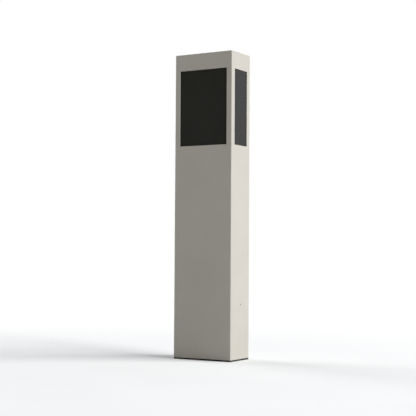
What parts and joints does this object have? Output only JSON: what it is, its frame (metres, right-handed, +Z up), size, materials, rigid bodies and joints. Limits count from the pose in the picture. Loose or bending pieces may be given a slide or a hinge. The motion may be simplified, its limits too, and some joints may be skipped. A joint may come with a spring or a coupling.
{
  "type": "ev charging post",
  "caption": "Slim free-standing charging post: folded sheet shell, smoked front window, a smoked-door socket bay on each side, full-height rear service door.",
  "frame": {"origin": "centre of the base gasket's underside, on the ground", "axes": "+Z up, front window faces -Y, socket bays face +X and -X, service door faces +Y"},
  "size_m": [0.3, 0.17, 1.4],
  "materials": {
    "painted_shell": "light warm grey powder coat, fine satin texture",
    "black_seal": "matt EPDM",
    "galvanised": "zinc coated, matt",
    "stainless": "satin",
    "dark_screw": "black oxide",
    "smoked_pane": "smoked polycarbonate, glossy",
    "black_moulding": "fine spark-eroded texture",
    "device_grey": "moulded, light grey",
    "test_blue": "moulded",
    "brass": "machined",
    "bush_bronze": "sintered",
    "circuit_board": "solder mask over laminate",
    "light_guide": "translucent acrylic",
    "cable_sheath": "flexible cable sheath"
  },
  "bodies": {
    "root": {"housing": "painted_shell", "top_lid": "painted_shell", "base_gasket": "black_seal", "front_pane_seal": "black_seal", "rear_door_seal": "black_seal", "bay_seals": "black_seal", "socket_boots": "black_seal", "base_plate": "galvanised", "pedestal_brackets": "galvanised", "corner_posts": "galvanised", "rear_frame": "galvanised", "mounting_plate": "galvanised", "din_rails": "galvanised", "foot_bolts": "stainless", "lid_screws": "stainless", "rear_hinge_halves": "stainless", "socket_screws": "stainless", "shell_screws": "dark_screw", "front_pane": "smoked_pane", "bay_tub_right": "black_moulding", "bay_tub_left": "black_moulding", "supply_gland": "black_moulding", "socket_barrel_right": "black_moulding", "socket_barrel_left": "black_moulding", "socket_flanges": "black_moulding", "socket_core_right": "black_moulding", "socket_core_left": "black_moulding", "socket_lock_actuators": "black_moulding", "display_module": "black_moulding", "rfid_reader": "black_moulding", "isolator_body": "device_grey", "breaker_bodies": "device_grey", "contactors": "device_grey", "energy_meters": "device_grey", "power_supply": "device_grey", "socket_contacts": "brass", "earth_bar": "brass", "bay_hinge_bushes": "bush_bronze", "controller_board": "circuit_board", "status_light_bar": "light_guide", "charge_cables": "cable_sheath", "feeder_wires": "cable_sheath"},
    "rear_door": {"rear_door": "painted_shell", "rear_door_knuckles": "stainless", "rear_lock_body": "stainless"},
    "rear_lock": {"rear_lock_barrel": "stainless", "rear_lock_cam": "stainless"},
    "bay_door_right": {"bay_pane_right": "smoked_pane", "bay_door_frame_right": "black_moulding", "bay_door_pins_right": "stainless"},
    "bay_door_left": {"bay_pane_left": "smoked_pane", "bay_door_frame_left": "black_moulding", "bay_door_pins_left": "stainless"},
    "socket_lock_right": {"socket_lock_pin_right": "stainless"},
    "socket_lock_left": {"socket_lock_pin_left": "stainless"},
    "isolator_handle": {"isolator_handle": "black_moulding"},
    "breaker_toggle_right": {"breaker_toggle_right": "black_moulding"},
    "breaker_toggle_left": {"breaker_toggle_left": "black_moulding"},
    "test_button_right": {"test_button_right": "test_blue"},
    "test_button_left": {"test_button_left": "test_blue"}
  },
  "joints": [
    {"name": "rear_door_hinge", "type": "hinge", "parent": "root", "child": "rear_door", "pos_m": [-0.1175, 0.078, 0.7], "axis": [0, 0, 1], "range_deg": [0, 110]},
    {"name": "rear_lock_turn", "type": "hinge", "parent": "rear_door", "child": "rear_lock", "pos_m": [0.1175, 0.078, 0.76], "axis": [0, 1, 0], "range_deg": [0, 90]},
    {"name": "bay_door_right_hinge", "type": "hinge", "parent": "root", "child": "bay_door_right", "pos_m": [0.1413, 0.049, 1.149], "axis": [0, 0, 1], "range_deg": [0, 100], "stiffness_Nm_per_rad": 0.05, "springref_deg": -17.19},
    {"name": "bay_door_left_hinge", "type": "hinge", "parent": "root", "child": "bay_door_left", "pos_m": [-0.1413, 0.049, 1.149], "axis": [0, 0, -1], "range_deg": [0, 100], "stiffness_Nm_per_rad": 0.05, "springref_deg": -17.19},
    {"name": "socket_lock_right_slide", "type": "slide", "parent": "root", "child": "socket_lock_right", "axis": [0, 0, -1], "range_m": [0, 0.005]},
    {"name": "socket_lock_left_slide", "type": "slide", "parent": "root", "child": "socket_lock_left", "axis": [0, 0, -1], "range_m": [0, 0.005]},
    {"name": "isolator_turn", "type": "hinge", "parent": "root", "child": "isolator_handle", "pos_m": [0, 0.0095, 0.52], "axis": [0, 1, 0], "range_deg": [0, 90]},
    {"name": "breaker_toggle_right_throw", "type": "hinge", "parent": "root", "child": "breaker_toggle_right", "pos_m": [0.038, 0.0085, 0.69], "axis": [-1, 0, 0], "range_deg": [0, 70]},
    {"name": "breaker_toggle_left_throw", "type": "hinge", "parent": "root", "child": "breaker_toggle_left", "pos_m": [-0.038, 0.0085, 0.69], "axis": [-1, 0, 0], "range_deg": [0, 70]},
    {"name": "test_button_right_press", "type": "slide", "parent": "root", "child": "test_button_right", "axis": [0, -1, 0], "range_m": [0, 0.0015], "stiffness_N_per_m": 300},
    {"name": "test_button_left_press", "type": "slide", "parent": "root", "child": "test_button_left", "axis": [0, -1, 0], "range_m": [0, 0.0015], "stiffness_N_per_m": 300}
  ]
}
